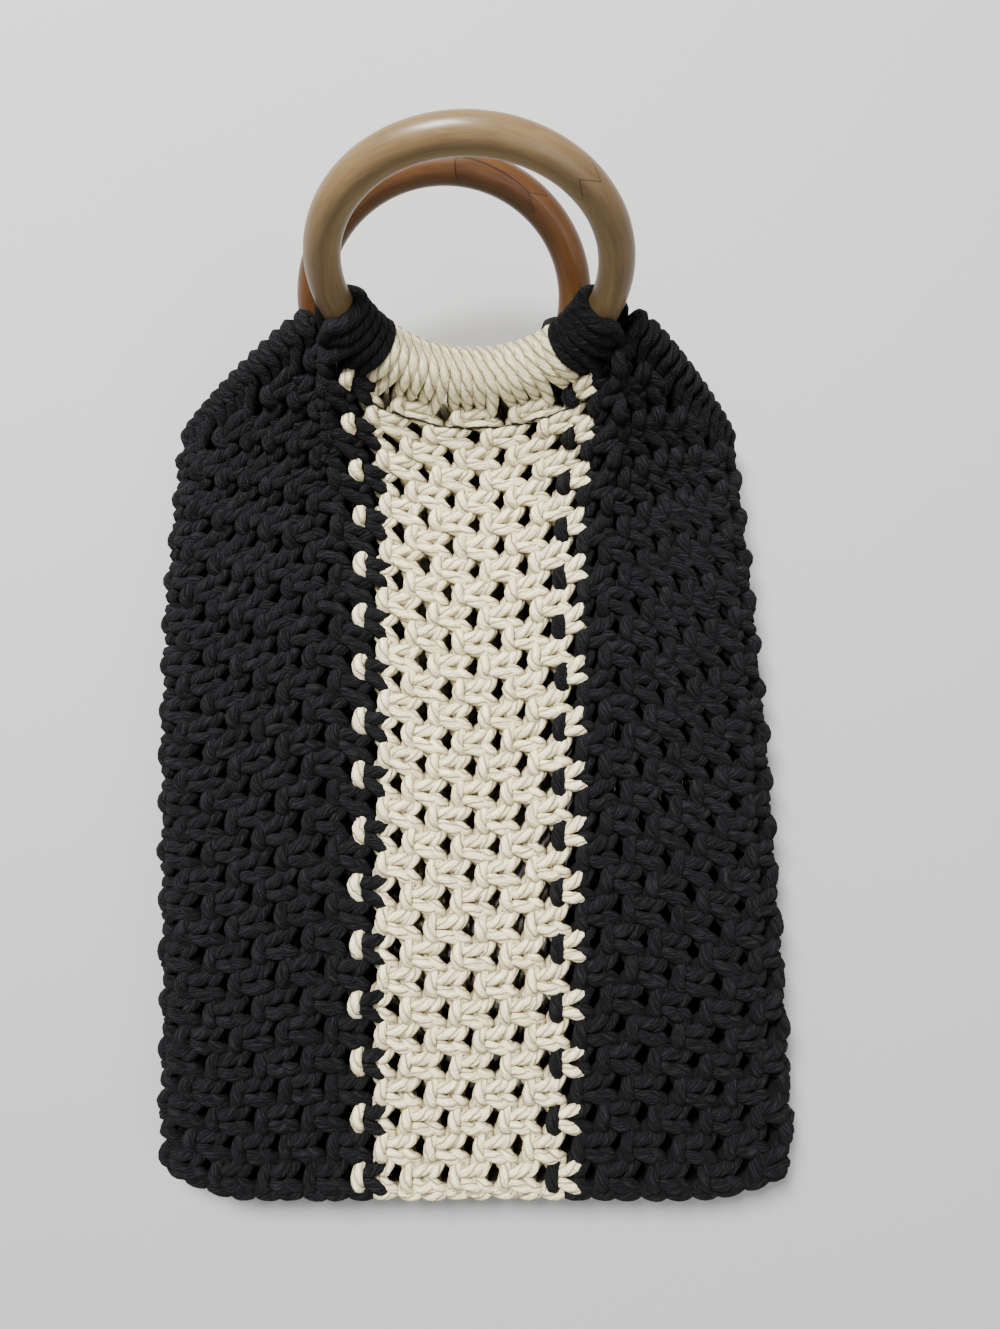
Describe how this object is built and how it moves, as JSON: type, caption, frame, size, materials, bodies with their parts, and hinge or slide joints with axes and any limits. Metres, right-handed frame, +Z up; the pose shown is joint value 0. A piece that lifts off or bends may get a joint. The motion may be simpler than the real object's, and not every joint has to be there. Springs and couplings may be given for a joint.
{
  "type": "macrame bag",
  "caption": "Knotted cord bag lying flat on its back, cream down the middle and black down both sides, with two round wooden ring handles standing up from its open mouth.",
  "frame": {"origin": "on the ground under the middle of the bag's box, the bag lying on its back", "axes": "+X to the bag's right as seen from its front, +Y from the bottom seam towards the rings, +Z up out of the bag's front"},
  "size_m": [0.2974, 0.457, 0.1558],
  "materials": {
    "cream_cord": "matte natural cotton cord, slightly fuzzy",
    "black_cord": "matte charcoal black cotton cord, fuzzy",
    "front_ring_wood": "glossy varnish over olive-brown stained wood",
    "back_ring_wood": "glossy varnish over orange-brown stained wood"
  },
  "bodies": {
    "root": {"ring_front": "front_ring_wood", "ring_back": "back_ring_wood", "wrap_cream_front": "cream_cord", "wrap_cream_back": "cream_cord", "wrap_black_front_left": "black_cord", "wrap_black_front_right": "black_cord", "wrap_black_back_left": "black_cord", "wrap_black_back_right": "black_cord", "shoulder_front_left": "black_cord", "shoulder_front_right": "black_cord", "shoulder_back_left": "black_cord", "shoulder_back_right": "black_cord", "panel_cream_front": "cream_cord", "panel_cream_back": "cream_cord", "side_black_left": "black_cord", "side_black_right": "black_cord", "seam_cream": "cream_cord", "seam_black_left": "black_cord", "seam_black_right": "black_cord"}
  },
  "joints": []
}
